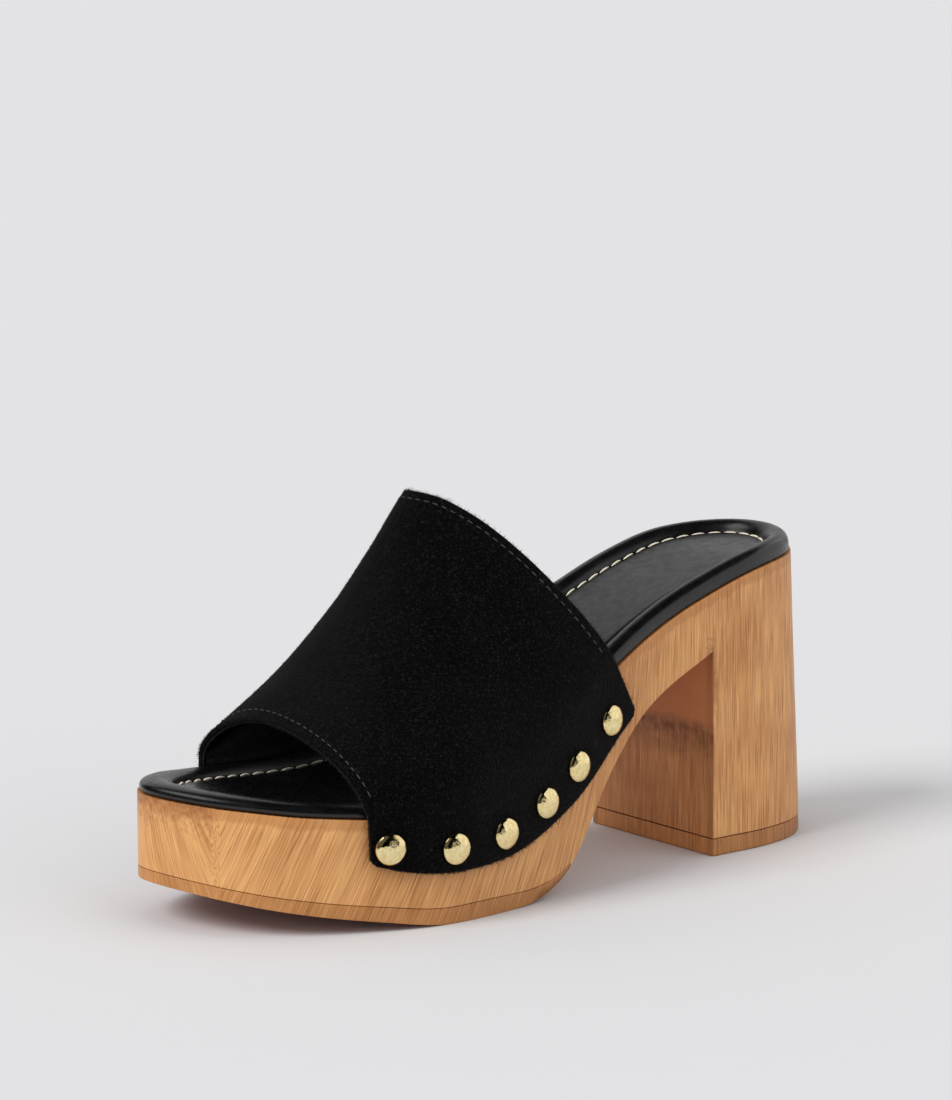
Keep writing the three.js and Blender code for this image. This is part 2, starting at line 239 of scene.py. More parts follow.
def edge_x(side, station):
    return rim(turn_at(side, station)).x


print("outline of", TURNS, "samples, toe at", outline[toe_turn], "heel at", outline[heel_turn])

# %% Distance around the outline, for the grain on the walls
GRAIN_PARTS_AT = 7.4  # station on the outer side, a little outside the toe's tip
grain_turn = int(turn_at("outer", GRAIN_PARTS_AT)) % TURNS
outline_finder = kdtree.KDTree(TURNS)
travelled = [0.0]
for n, point in enumerate(outline):
    outline_finder.insert(point, n)
    travelled.append(travelled[-1] + (outline[(n + 1) % TURNS] - point).length)
outline_finder.balance()
ALL_ROUND = travelled[-1]


def distance_around(point):
    """Way along the outline from the line where the streaks part: above zero on the outer side."""
    _, nearest, _ = outline_finder.find((point.x, point.y, 0))
    here = travelled[nearest]
    along = outline[(nearest + 1) % TURNS] - outline[nearest - 1]
    here += (point - outline[nearest]).to_2d().dot(along.to_2d().normalized())
    way = (here - travelled[grain_turn]) % ALL_ROUND
    return way if way < ALL_ROUND / 2 else way - ALL_ROUND


print("once around the outline is", round(ALL_ROUND, 1), "mm")

# %% [markdown]
# ## From the maker's millimetres to the frame
#
# The frame's origin is the middle of the whole shoe on the floor. The shift between the two is
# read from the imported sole, whose toe and widest points are the outline's own.

# %% Turn and shift into the frame
sole_low, sole_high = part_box("sole")
shift_x = (sole_low.x + sole_high.x) / 2 / MM
shift_x -= (min(p.x for p in outline) + max(p.x for p in outline)) / 2
shift_y = sole_low.y / MM - outline[toe_turn].y
TO_FRAME = Matrix.Scale(MM, 4) @ Matrix.Translation((shift_x, shift_y, 0))
print("shift", round(shift_x, 3), round(shift_y, 3))


def make_piece(name, bm, materials, nodes=()):
    """Turn a finished bmesh into a piece of the shoe that rides on its one body."""
    bmesh.ops.transform(bm, matrix=TO_FRAME, verts=bm.verts)
    mesh = bpy.data.meshes.new(name)
    bm.to_mesh(mesh)
    bm.free()
    mesh.shade_smooth()
    for material in materials:
        mesh.materials.append(material)
    piece = bpy.data.objects.new(name, mesh)
    scene.collection.objects.link(piece)
    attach(piece, "root")
    if nodes:
        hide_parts(*nodes)
    print(name, len(mesh.polygons), "faces")
    return piece


# %% [markdown]
# ## Adding materials
#
# Each finish is a small tree of shader nodes. One function adds a node, sets it and links it.
# Colours are written as the hex values a painter would pick and turned to linear light once.

# %% Helpers for shader trees
def colour(code):
    parts = [int(code[i : i + 2], 16) / 255 for i in (1, 3, 5)]
    linear = [c / 12.92 if c <= 0.04045 else ((c + 0.055) / 1.055) ** 2.4 for c in parts]
    return (*linear, 1)


def add(tree, kind, inputs=None, **settings):
    """Add a node. An input is given a value, or the socket that feeds it."""
    node = tree.nodes.new(kind)
    for name, value in settings.items():
        setattr(node, name, value)
    for name, value in (inputs or {}).items():
        if isinstance(value, bpy.types.NodeSocket):
            tree.links.new(value, node.inputs[name])
        else:
            node.inputs[name].default_value = value
    return node


def start_material(name, **constants):
    """A material with its shader's constant values set on the sockets themselves."""
    material = bpy.data.materials.new(name)
    material.use_nodes = True
    tree = material.node_tree
    shader = tree.nodes["Principled BSDF"]
    for socket, value in constants.items():
        shader.inputs[socket.replace("_", " ")].default_value = value
    place = add(tree, "ShaderNodeTexCoord").outputs["Object"]
    print("material", name)
    return material, tree, shader, place


def per_metre(millimetres):
    """Scale of a texture whose features are so many millimetres wide."""
    return 1 / (millimetres * MM)


def noise_at(tree, place, millimetres, detail=2.0, roughness=0.5):
    values = {
        "Vector": place,
        "Scale": per_metre(millimetres),
        "Detail": detail,
        "Roughness": roughness,
    }
    return add(tree, "ShaderNodeTexNoise", values).outputs["Fac"]


# %% Helpers that blend, carry and link values
def maths(tree, operation, *values):
    return add(tree, "ShaderNodeMath", dict(enumerate(values)), operation=operation).outputs[0]


def spread(tree, value, low, high, to_low=0.0, to_high=1.0):
    """A value carried from one range to another, and held at its ends."""
    values = {"Value": value, "From Min": low, "From Max": high}
    values |= {"To Min": to_low, "To Max": to_high}
    return add(tree, "ShaderNodeMapRange", values).outputs["Result"]


def mixed(tree, share, first, second):
    """Blend of two colours, given as hex codes or sockets."""
    pair = [colour(c) if isinstance(c, str) else c for c in (first, second)]
    node = add(tree, "ShaderNodeMix", {0: share, 6: pair[0], 7: pair[1]}, data_type="RGBA")
    return node.outputs[2]


def combine(tree, x, y, z):
    return add(tree, "ShaderNodeCombineXYZ", {"X": x, "Y": y, "Z": z}).outputs["Vector"]


def attribute(tree, name):
    """A value that is stored on the mesh."""
    return add(tree, "ShaderNodeAttribute", attribute_name=name).outputs["Fac"]


def paint(tree, shader, base, relief, depth, strength):
    """Link a finish's colour, and its relief of a depth in metres."""
    tree.links.new(base, shader.inputs["Base Color"])
    values = {"Height": relief, "Distance": depth, "Strength": strength}
    tree.links.new(add(tree, "ShaderNodeBump", values).outputs["Normal"], shader.inputs["Normal"])


# %% [markdown]
# ## Wood
#
# The sole is light wood, cut by machine and given a thin satin varnish. Its side walls show fine
# streaks that stand almost upright: they lean back along the side, fan out at the toe and are
# plumb on the heel. Noise that is narrow across the streak and long up it gives them. On the walls
# it is read on the distance around the shoe, less a share of the height, so the streaks lean both
# ways from one line at the toe. Towards the toe the wood is painted paler: painted light, where
# the toe faces the key light. Darker stain has crept in under the insole. The inside of the arch
# is smooth, in a little lighter and warmer colours that are painted bounce light in the shaded
# hollow, above a dark band across the breast.

# %% Material: varnished wood
STREAK_LONG = 0.025  # share of the height that the noise is read on
OTHER_SIDE = 0.006  # noise between the two sides, in metres, so they aren't mirror images
LEAN = 0.46
STRAIGHTEN = (-0.01, 0.06)  # where the streaks become plumb, towards the heel
INNER_LEAN = 0.25  # share of the lean that is left on the inner side
ACROSS_TOE = (-0.03, 0.008)
# Where the wood fades from paler at the toe to its own colour, in metres along the shoe: painted
# light, as the toe faces the key light.
PAINTED_TOE_LIGHT = (-0.12, -0.05)
# Height of a dark band across the breast, and the colour that it and the breast's sides darken to.
DARK_BAND_HEIGHT = 0.0435
DARK_BAND_COLOUR = "#6E3C1B"


def plumb_streaks(tree, parts):
    """Coordinates in which the streaks of an inner face run straight up."""
    height = maths(tree, "MULTIPLY", parts["Z"], STREAK_LONG)
    return combine(tree, parts["X"], parts["Y"], height)


def wall_streaks(tree, parts):
    """The same on the outer walls, where the streaks lean away from one line at the toe."""
    lean = spread(tree, parts["Y"], *STRAIGHTEN, LEAN, 0.0)
    share = spread(tree, parts["X"], *ACROSS_TOE, INNER_LEAN, 1.0)
    leant = maths(tree, "MULTIPLY", maths(tree, "MULTIPLY", lean, share), parts["Z"])
    along = maths(tree, "SUBTRACT", attribute(tree, "around"), leant)
    other = maths(tree, "MULTIPLY", attribute(tree, "inner_side"), OTHER_SIDE)
    return combine(tree, along, other, maths(tree, "MULTIPLY", parts["Z"], STREAK_LONG))


def varnished(tree, place, parts, streak, base, stain):
    """Stain under the top edge, and wear at the corners."""
    ragged = maths(tree, "MULTIPLY", noise_at(tree, streak, 7.0, 5.0, 0.75), 6.5)
    seen = maths(tree, "SUBTRACT", attribute(tree, "below_top"), ragged)
    base = mixed(tree, spread(tree, seen, -0.5, 0.5, 0.45, 0.0), base, "#B06F38")
    rubbed = noise_at(tree, place, 2.0, 4.0, 0.7)
    rubbed = maths(tree, "MULTIPLY", rubbed, attribute(tree, "near_edge"))
    return mixed(tree, spread(tree, rubbed, 0.3, 0.6, 0.0, 0.7), base, stain)


def smooth_arch_with_painted_bounce(tree, place, parts, streak, base, stain):
    """Smooth under the arch with painted bounce light, down to a dark band across the breast."""
    # Lighter and warmer than the wood: painted bounce light in the shaded hollow under the arch.
    smooth = mixed(tree, noise_at(tree, place, 5.0, 3.0, 0.6), "#D88F58", "#C87F4A")
    wander = noise_at(tree, place, 6.0, 4.0, 0.7)
    level = maths(tree, "ADD", parts["Z"], maths(tree, "MULTIPLY", wander, 0.006))
    base = mixed(tree, spread(tree, level, DARK_BAND_HEIGHT, 0.046), base, smooth)
    # A ragged dark band across the breast, reaching further below its middle than above it.
    from_dark_band = maths(tree, "ABSOLUTE", maths(tree, "SUBTRACT", level, DARK_BAND_HEIGHT))
    band_patchiness = maths(tree, "ADD", noise_at(tree, streak, 1.6, 3.0, 0.7), noise_at(tree, place, 3.0))
    band_patchiness = spread(tree, band_patchiness, 0.7, 1.15, 0.2, 0.85)
    below = maths(tree, "LESS_THAN", level, DARK_BAND_HEIGHT)
    reach = maths(tree, "MULTIPLY_ADD", below, 0.009, 0.0035)
    dark_band_share = spread(tree, maths(tree, "DIVIDE", from_dark_band, reach), 0.0, 1.0, 1.0, 0.0)
    base = mixed(tree, maths(tree, "MULTIPLY", dark_band_share, band_patchiness), base, DARK_BAND_COLOUR)
    # Darker towards the breast's two sides.
    sides = maths(tree, "ABSOLUTE", maths(tree, "ADD", parts["X"], 0.003))
    return mixed(tree, spread(tree, sides, 0.0258, 0.0285, 0.0, 0.45), base, DARK_BAND_COLOUR)


def make_wood(name, light, dark, stain, streaks, finish=varnished):
    """Streaky wood, on which a finish puts its own marks."""
    material, tree, shader, place = start_material(
        name, Roughness=0.5, Specular_IOR_Level=0.35, IOR=1.5
    )
    parts = add(tree, "ShaderNodeSeparateXYZ", {"Vector": place}).outputs
    streak = streaks(tree, parts)
    fine = maths(tree, "MULTIPLY", noise_at(tree, streak, 0.5, 2.0, 0.7), 1.3)
    wide = maths(tree, "MULTIPLY", noise_at(tree, streak, 1.7, 2.0, 0.6), 0.45)
    patch = maths(tree, "MULTIPLY", noise_at(tree, place, 22.0, 2.0, 0.5), 0.5)
    grain = maths(tree, "ADD", maths(tree, "ADD", fine, wide), patch)
    # Paler wood towards the toe: painted light where the toe faces the key light.
    painted_light_at_toe = spread(tree, parts["Y"], *PAINTED_TOE_LIGHT, 0.14, 0.0)
    shown = maths(tree, "ADD", grain, painted_light_at_toe)
    base = mixed(tree, spread(tree, shown, 0.88, 1.4), dark, light)
    pores = noise_at(tree, streak, 0.5, 3.0, 0.75)
    base = mixed(tree, spread(tree, pores, 0.3, 0.4, 0.75, 0.0), base, stain)
    fibres = noise_at(tree, streak, 0.9, 3.0, 0.75)
    base = mixed(tree, spread(tree, fibres, 0.6, 0.7, 0.0, 0.35), base, "#F0C592")
    base = finish(tree, place, parts, streak, base, stain)
    paint(tree, shader, base, grain, 0.0001, 0.4)
    return material


varnished_wood = make_wood("varnished_wood", "#E7AE6F", "#B0703A", "#885026", wall_streaks)
# The arch and breast wood is a little lighter and warmer: painted bounce light in the hollow.
bounce_painted_arch_wood = make_wood("arch_wood_with_painted_bounce", "#E9A969", "#B7733F", "#86552F", plumb_streaks, smooth_arch_with_painted_bounce)
tread_wood = make_wood("stained_tread_wood", "#CC9055", "#99602F", "#724120", wall_streaks)
lift_wood = make_wood("stained_lift_wood", "#C2864E", "#90592B", "#6C3D1E", plumb_streaks)
tread_rubber = make_wood("red_brown_tread_rubber", "#A5552F", "#964C29", "#7F3F22", plumb_streaks)

# %% [markdown]
# ## The wooden sole
#
# The maker saws the outline, then cuts the toe spring, the arch and the heel. The same is done
# here: a grid is laid on the outline, extruded down to the underside, and the faces behind the
# breast are extruded again for the heel. Rows of the grid stand square across the shoe, except
# that the first and last follow the tips, so the walls need no pole at toe or heel.

# %% A sheet of faces on the outline
TIP_BLEND = 34.0
CROWDING = 0.6
SHARP = math.radians(30)


def rows_between(first, last, count, crowd_first, crowd_last):
    """Stations of the rows, closer together at an end that is crowded."""
    stations = []
    for i in range(count + 1):
        t = i / count
        if crowd_first and crowd_last:
            share = (1 - math.cos(math.pi * t)) / 2
        elif crowd_first:
            share = mix(t, 1 - math.cos(math.pi / 2 * t), CROWDING)
        elif crowd_last:
            share = mix(t, math.sin(math.pi / 2 * t), CROWDING)
        else:
            share = t
        stations.append(mix(first, last, share))
    return stations


def no_inset(turn):
    return 0.0


def outline_sheet(bm, stations, columns, height, inset=no_inset, row_inset=0.0, tips=(True, True)):
    """A grid laid inside the outline. Each rim vertex keeps its turn for rings made later."""
    turn_layer = bm.verts.layers.float.get("turn") or bm.verts.layers.float.new("turn")
    last = len(stations) - 1
    ends = [
        (turn_at("inner", station, row_inset), turn_at("outer", station, row_inset))
        for station in stations
    ]
    made = bmesh.ops.create_grid(bm, x_segments=columns, y_segments=last, size=1)["verts"]
    front = (ends[0][0] - TURNS, ends[0][1])
    back = ends[-1]
    for v in made:
        share = (v.co.x + 1) / 2
        row = round((v.co.y + 1) / 2 * last)
        sides = [rim(turn, inset(turn)) for turn in ends[row]]
        point = sides[0].lerp(sides[1], share)
        turn = ends[row][0] if share < 0.001 else ends[row][1]
        for used, arc, end in ((tips[0], front, 0), (tips[1], back, last)):
            if not used:
                continue
            fade = 1 - ease(abs(stations[row] - stations[end]), 0, TIP_BLEND)
            first, second = ends[end]
            chord = rim(first, inset(first)).lerp(rim(second, inset(second)), share)
            on_arc = mix(arc[0], arc[1], share)
            point += (rim(on_arc, inset(on_arc)) - chord) * fade
            if row == end:
                turn = on_arc
        v[turn_layer] = turn
        v.co = (point.x, point.y, height(point.y))


def is_vert(item):
    return isinstance(item, bmesh.types.BMVert)


def behind_breast(station):
    return max(0, (station - BREAST) / (SOLE_LENGTH - BREAST)) ** 2


def spread_heel(v, station, height):
    """The heel block widens towards the floor, to the back and a little to the sides."""
    drop = min(1, max(0, 1 - height / top_edge(station)))
    side = ease(station, BREAST - 40, BREAST) * (1 - ease(station, SOLE_LENGTH - 4, SOLE_LENGTH))
    outer, inner = edge_x("outer", station), edge_x("inner", station)
    middle = (outer + inner) / 2
    half = max(1, (outer - inner) / 2)
    v.co.x += HEEL_FLARE_SIDE * drop * side * (v.co.x - middle) / half
    v.co.y += HEEL_FLARE_BACK * drop * behind_breast(station)
    v.co.z = height


def block(stations, columns, high, low, tips=(True, True)):
    """A slab of wood with the outline's walls, between two heights. Returns its low vertices."""
    bm = bmesh.new()
    outline_sheet(bm, stations, columns, high, tips=tips)
    made = bmesh.ops.extrude_face_region(bm, geom=bm.faces[:])["geom"]
    below = [v for v in made if is_vert(v)]
    above = [v for v in bm.verts if v not in set(below)]
    for verts, height in ((above, high), (below, low)):
        for v in verts:
            spread_heel(v, v.co.y, height(v.co.y))
    return bm, below


def face_outwards(bm):
    bmesh.ops.recalc_face_normals(bm, faces=bm.faces)


def bevel(bm, edges, radius, segments):
    """Round some edges. Where rows stand close the rounding is held back to what fits."""
    bmesh.ops.bevel(
        bm,
        geom=edges,
        offset=radius,
        offset_type="OFFSET",
        affect="EDGES",
        segments=segments,
        profile=0.5,
        material=-1,
        clamp_overlap=True,
    )


def round_edges(bm, radius, keep, segments=3):
    """Take the sharpness off the edges that turn more than SHARP, where keep allows it."""
    face_outwards(bm)
    bm.normal_update()
    sharp = []
    for e in bm.edges:
        if e.calc_face_angle(0) < SHARP:
            continue
        if keep((e.verts[0].co + e.verts[1].co) / 2):
            sharp.append(e)
    bevel(bm, sharp, radius, segments)


def store(bm, name, value_of):
    """Write a value on every vertex, for the wood's material to read."""
    layer = bm.verts.layers.float.new(name)
    for v in bm.verts:
        v[layer] = value_of(v.co)


def mark_walls(bm, depth_of):
    store(bm, "below_top", depth_of)
    store(bm, "around", lambda place: abs(distance_around(place)) * MM)
    store(bm, "inner_side", lambda place: 1 if distance_around(place) < 0 else 0)


def finish_wood(name, bm, materials, node, is_second):
    """Give the faces that a rule picks the second material, and make the piece."""
    bm.normal_update()
    for f in bm.faces:
        f.material_index = 1 if is_second(f) else 0
    piece = make_piece(name, bm, materials, [node])
    # Large faces decide the shading, so that rounded edges don't darken them.
    weighted = piece.modifiers.new("even_shading", "WEIGHTED_NORMAL")
    weighted.keep_sharp = True


# %% Carve the sole
FIRST_ROW = 4.0
LAST_ROW = SOLE_LENGTH - 3.0
COLUMNS = 14
RABBET_END = OUTSOLE_END + 0.1
FLUSH_FROM = OUTSOLE_END + 0.25
WOOD_EDGE = 0.7


def wood_underside(station):
    if station <= RABBET_END + 0.001:
        return underside(station) + outsole_thickness(station) + GAP / 2
    return underside(station) if station < BREAST else ARCH_ROOF


def before_spread(y):
    """Station that the heel's flare has carried to a place at the arch's height."""
    station = y
    for _ in range(3):
        drop = 1 - ARCH_ROOF / top_edge(station)
        station = y - HEEL_FLARE_BACK * drop * behind_breast(station)
    return station


def is_worn(place):
    """Worn places: the outer end of the breast's top, and the toe's top edge."""
    at_toe = place.y < 8 and place.z > top_edge(place.y) - 3
    return 1 if at_toe or (place - breast_corner).length < 3 else 0


def in_hollow(face):
    """Whether a face belongs to the arch or to the breast."""
    middle = face.calc_center_median()
    hollow = OUTSOLE_END < middle.y < BREAST + 1 and middle.z < ARCH_ROOF + 1
    return hollow and (face.normal.z < -0.3 or face.normal.y < -0.6)


breast_corner = Vector((edge_x("outer", BREAST), BREAST, ARCH_ROOF))
sole_rows = rows_between(FIRST_ROW, RABBET_END, 34, True, False)
sole_rows += rows_between(FLUSH_FROM, BREAST, 30, False, False)
sole_rows += rows_between(BREAST, LAST_ROW, 16, False, True)[1:]
bm, low_verts = block(sole_rows, COLUMNS, top_edge, wood_underside)
low_set = set(low_verts)
heel_faces = [
    f
    for f in bm.faces
    if all(v in low_set and v.co.z > ARCH_ROOF - 0.01 and v.co.y > BREAST - 0.01 for v in f.verts)
]
extruded = bmesh.ops.extrude_face_region(bm, geom=heel_faces)["geom"]
for v in extruded:
    if is_vert(v):
        station = before_spread(v.co.y)
        v.co.y = station
        spread_heel(v, station, TOP_LIFT)
bmesh.ops.delete(bm, geom=[f for f in heel_faces if f.is_valid], context="FACES_ONLY")
round_edges(bm, WOOD_EDGE, lambda middle: not RABBET_END - 8 < middle.y < FLUSH_FROM + 0.2)
mark_walls(bm, lambda place: top_edge(place.y) - place.z)
store(bm, "near_edge", is_worn)
finish_wood("wooden_sole", bm, [varnished_wood, bounce_painted_arch_wood], "sole", in_hollow)

# %% [markdown]
# ## The treads
#
# A thin wearing layer lies under the forefoot and another under the heel, cut flush with the wood
# and coloured to match it. Only a fine dark line shows where they join. Each is the same kind of
# slab as the sole, with its lower edges rounded.

# %% Treads under the forefoot and the heel
def is_low(middle):
    """Whether an edge lies on the underside of the forefoot's tread."""
    return middle.z < underside(middle.y) + 0.2


UNSTAINED = 20  # deeper below the top edge than the stain reaches
JOINT_EDGE = 0.3
FOREFOOT_EDGE = 0.9
HEEL_EDGE = 1.4
HEEL_CORNER = 1.2
outsole_rows = rows_between(FIRST_ROW, OUTSOLE_END, 34, True, False)
bm, _ = block(
    outsole_rows,
    COLUMNS,
    lambda station: underside(station) + outsole_thickness(station),
    underside,
    tips=(True, False),
)
round_edges(bm, FOREFOOT_EDGE, lambda middle: is_low(middle) and middle.y < 104)
round_edges(bm, JOINT_EDGE, lambda middle: not is_low(middle), 2)
mark_walls(bm, lambda place: UNSTAINED)
materials = [tread_wood, tread_rubber]
finish_wood("forefoot_tread", bm, materials, "outsole", lambda f: f.normal.z < -0.9)

LIFT_TOP = TOP_LIFT - GAP
lift_rows = rows_between(BREAST, LAST_ROW, 10, False, True)
bm, _ = block(lift_rows, 10, lambda s: LIFT_TOP, lambda s: 0.0, tips=(False, True))
round_edges(bm, HEEL_CORNER, lambda middle: 2 < middle.z < LIFT_TOP - 1, 4)
round_edges(bm, HEEL_EDGE, lambda middle: middle.z < 0.2, 4)
round_edges(bm, JOINT_EDGE, lambda middle: middle.z > LIFT_TOP - 0.1, 2)
mark_walls(bm, lambda place: UNSTAINED)
materials = [lift_wood, bounce_painted_arch_wood]
finish_wood("heel_tread", bm, materials, "top_lift", lambda f: f.normal.y < -0.6)

# %% [markdown]
# ## Black leather insole
#
# The insole is a soft pad under smooth black leather. Its rim is rolled over a cord of foam and
# sewn down from above, so a seam runs in a valley all round, just inside the roll, and the bed of
# the foot lies sunk within it. The roll is tight and its shape is known, so it is modelled from
# its section: the bed is a sheet, and its edge is pushed out ring by ring over the roll.

# %% Material: smooth black leather
def make_leather(name, base, worn):
    material, tree, shader, place = start_material(name, Specular_IOR_Level=0.55, IOR=1.5)
    pores = noise_at(tree, place, 0.35, 3.0, 0.6)
    creases = noise_at(tree, place, 3.0, 3.0, 0.55)
    patches = noise_at(tree, place, 14.0, 2.0, 0.5)
    tree.links.new(spread(tree, creases, 0.3, 0.7, 0.22, 0.36), shader.inputs["Roughness"])
    base = mixed(tree, spread(tree, patches, 0.35, 0.65), base, worn)
    paint(tree, shader, base, maths(tree, "ADD", pores, creases), 0.00005, 0.2)
    return material


black_leather = make_leather("smooth_black_leather", "#080809", "#0E0E10")

# %% Roll the insole's rim
ROLL_FOOT = 0.6
ROLL_SHAPE = [  # station, factor on insets, factor on rises
    (0, 1.33, 0.68),
    (50, 1.25, 0.7),
    (80, 1.45, 0.56),
    (115, 1.2, 0.82),
    (150, 1, 1),
    (240, 0.96, 1.03),
]
INSOLE_ROLL = [  # inset from the outline, rise above the wood's edge
    (11.2, 2.95), (10.5, 2.75), (9.9, 2.4), (9.45, 2.3), (9.0, 2.75), (8.55, 3.6), (7.9, 4.55),
    (7.1, 5.3), (6.2, 5.8), (5.2, 6.0), (4.2, 5.98), (3.2, 5.75), (2.3, 5.3), (1.55, 4.65),
    (1.0, 3.8), (0.7, 2.8), (0.6, 1.7), (0.75, 0.8), (1.0, GAP),
]
BED = (12.0, 3.0)
UNDER = (1.0, GAP)
BED_ROWS = 120
BED_COLUMNS = 30
BED_FROM = 17.0
BED_TO = SOLE_LENGTH - 16.0


def roll_inset(turn, inset):
    """The roll is wider at the toe than at the heel."""
    return ROLL_FOOT + (inset - ROLL_FOOT) * read(ROLL_SHAPE, rim(turn).y, 1)


def roll_height(station, rise):
    return top_edge(station) + GAP + (rise - GAP) * read(ROLL_SHAPE, station, 2)


def roll_point(turn, inset, rise):
    point = rim(turn, roll_inset(turn, inset))
    point.z = roll_height(point.y, rise)
    return point


def ring_out(bm, edges, inset, rise):
    """Extrude a loop of rim edges to the next ring of the section."""
    turn_layer = bm.verts.layers.float["turn"]
    made = bmesh.ops.extrude_edge_only(bm, edges=edges)["geom"]
    verts = {v for v in made if is_vert(v)}
    for v in verts:
        v.co = roll_point(v[turn_layer], inset, rise)
    return [
        e for e in made if isinstance(e, bmesh.types.BMEdge) and all(v in verts for v in e.verts)
    ]


def insole_sheet(bm, rows, inset, rise):
    outline_sheet(
        bm,
        rows,
        BED_COLUMNS,
        lambda station: roll_height(station, rise),
        lambda turn: roll_inset(turn, inset),
        BED[0],
    )


bm = bmesh.new()
bed_rows = rows_between(BED_FROM, BED_TO, BED_ROWS, True, True)
insole_sheet(bm, bed_rows, *BED)
loop = [e for e in bm.edges if e.is_boundary]
for inset, rise in INSOLE_ROLL:
    loop = ring_out(bm, loop, inset, rise)
insole_sheet(bm, bed_rows, *UNDER)
bmesh.ops.remove_doubles(bm, verts=bm.verts, dist=0.02)
face_outwards(bm)
print("insole open edges", sum(1 for e in bm.edges if not e.is_manifold))
insole = make_piece("leather_insole", bm, [black_leather], ["insole"])

# %% [markdown]
# ## Thread
#
# The insole's seam is sewn with thick cream thread, a stitch about every five millimetres, and the
# band's two cut edges with fine grey thread. A stitch is a short rounded bar that dives into the
# leather at both ends. A row is one mesh, in which the same small bar is set again and again.

# %% Material: sewing thread
def make_thread(name, light, dark):
    material, tree, shader, place = start_material(name, Roughness=0.75, Specular_IOR_Level=0.25)
    twist = noise_at(tree, place, 0.25, 2.0, 0.6)
    paint(tree, shader, mixed(tree, twist, dark, light), twist, 0.00008, 0.6)
    return material


cream_thread = make_thread("waxed_cream_thread", "#FFF8E6", "#E9DCBC")
grey_thread = make_thread("fine_grey_thread", "#5C5855", "#2F2C2A")


# %% A row of stitches
THREAD_SIDES = 6
DIP = 0.3  # how far a stitch's ends sink into the leather


def add_stitch(bm, middle, along, up, length, width):
    """One stitch: a rounded bar, thin at its ends."""
    side = up.cross(along).normalized()
    angles = [math.tau * k / THREAD_SIDES for k in range(THREAD_SIDES)]
    rings = []
    for t in (-1, -0.8, -0.35, 0.35, 0.8, 1):
        radius = width / 2 * (1 - abs(t) ** 4 * 0.75)
        centre = middle + along * (t * length / 2) - up * (DIP * t * t)
        rings.append(
            [
                bm.verts.new(centre + side * (radius * math.cos(a)) + up * (radius * math.sin(a)))
                for a in angles
            ]
        )
    for ring, following in zip(rings, rings[1:]):
        for k in range(THREAD_SIDES):
            m = (k + 1) % THREAD_SIDES
            bm.faces.new((ring[k], ring[m], following[m], following[k]))
    bm.faces.new(rings[0][::-1])
    bm.faces.new(rings[-1])


def spaced(points, pitch):
    """Positions, as numbers along a list of points, that lie one pitch apart."""
    found = []
    ahead = pitch / 2
    for n, (a, b) in enumerate(zip(points, points[1:])):
        step = (b - a).length
        while ahead < step:
            found.append(n + ahead / step)
            ahead += pitch
        ahead -= step
    return found


# %% Sew the insole
SEAM = (9.5, 2.35)
SEAM_PITCH = 5.4
SEAM_TILT = 7
CREAM_LENGTH = 4.9
CREAM_WIDTH = 0.7
UP = Vector((0, 0, 1))
seam_path = [roll_point(turn / 2, *SEAM) for turn in range(2 * TURNS + 1)]
bm = bmesh.new()
chance = random.Random(5)
for position in spaced(seam_path, SEAM_PITCH):
    turn = position / 2
    middle = roll_point(turn, *SEAM)
    along = (roll_point(turn + 0.5, *SEAM) - roll_point(turn - 0.5, *SEAM)).normalized()
    tilt = Matrix.Rotation(math.radians(SEAM_TILT + chance.uniform(-3, 3)), 3, "Z")
    length = CREAM_LENGTH + chance.uniform(-0.25, 0.25)
    add_stitch(bm, middle + UP * DIP, tilt @ along, UP, length, CREAM_WIDTH)
face_outwards(bm)
make_piece("insole_stitches", bm, [cream_thread])

# %% [markdown]
# ## The suede band
#
# One piece of black suede with a thin lining is bent over the foot and tacked to both sides of
# the wood. Its sections stand square to the wood's edge and lean back further up the foot. The
# band is a grid whose places are worked out in the maker's terms: a share of the way from the toe
# cut to the collar cut, and how far across from the inner edge over the ridge to the outer edge.

# %% Sizes of the band, in millimetres
LEATHER = 2.6
STRAIGHT_RISE = 6
ARCH = [  # station, height, ridge, lean in degrees
    (36, 19.2, -6.5, -3),
    (50, 31.3, -7.2, 0),
    (75, 46.9, -8.3, 8),
    (100, 59.3, -9.1, 18),
    (125, 67.8, -9.8, 28),
    (150, 74.9, -10.3, 34),
]
FULLNESS = {  # station, crown, flank
    "outer": [(25, 0.48, 0.41), (90, 0.47, 0.47), (150, 0.34, 0.39)],
    "inner": [(25, 0.5, 0.43), (90, 0.54, 0.54), (150, 0.44, 0.51)],
}
OVERLAP = [  # station, depth down the side of the wood
    (35, 11.1), (60, 16.4), (75, 18.8), (92, 20.2), (110, 20), (122, 19.1), (135, 17.7),
    (145, 16.2),
]
TOE_CUT = [(-1, 40), (0, 40), (0.5, 40.5), (0.8, 42), (0.88, 44.4), (1, 45.2)]
COLLAR_CUT = [
    (-1, 144.4), (-0.5, 142.2), (0, 137), (0.2, 140.6), (0.35, 143.2), (0.5, 144.6), (0.8, 145.9),
    (1, 145.1),
]
ARCH_SHARE = 0.82
FRONT_CORNER = 1.7
REAR_CORNER = 1.4


# %% Places on the band
def bezier(t, a, b, c, d):
    u = 1 - t
    return u * u * u * a + 3 * u * u * t * b + 3 * u * t * t * c + t * t * t * d


edge_table = {
    side: [edge_x(side, half / 2) for half in range(40, 340)] for side in ("outer", "inner")
}


def side_x(side, station):
    """The outline's x beside the band, from a table of every half millimetre."""
    at = (station - 20) * 2
    low = min(max(int(at), 0), len(edge_table[side]) - 2)
    return mix(edge_table[side][low], edge_table[side][low + 1], at - low)


def foot_x(side, station):
    slope = (side_x(side, station + 1) - side_x(side, station - 1)) / 2
    reach = (GAP + LEATHER) * math.hypot(1, slope)
    return side_x(side, station) + (reach if side == "outer" else -reach)


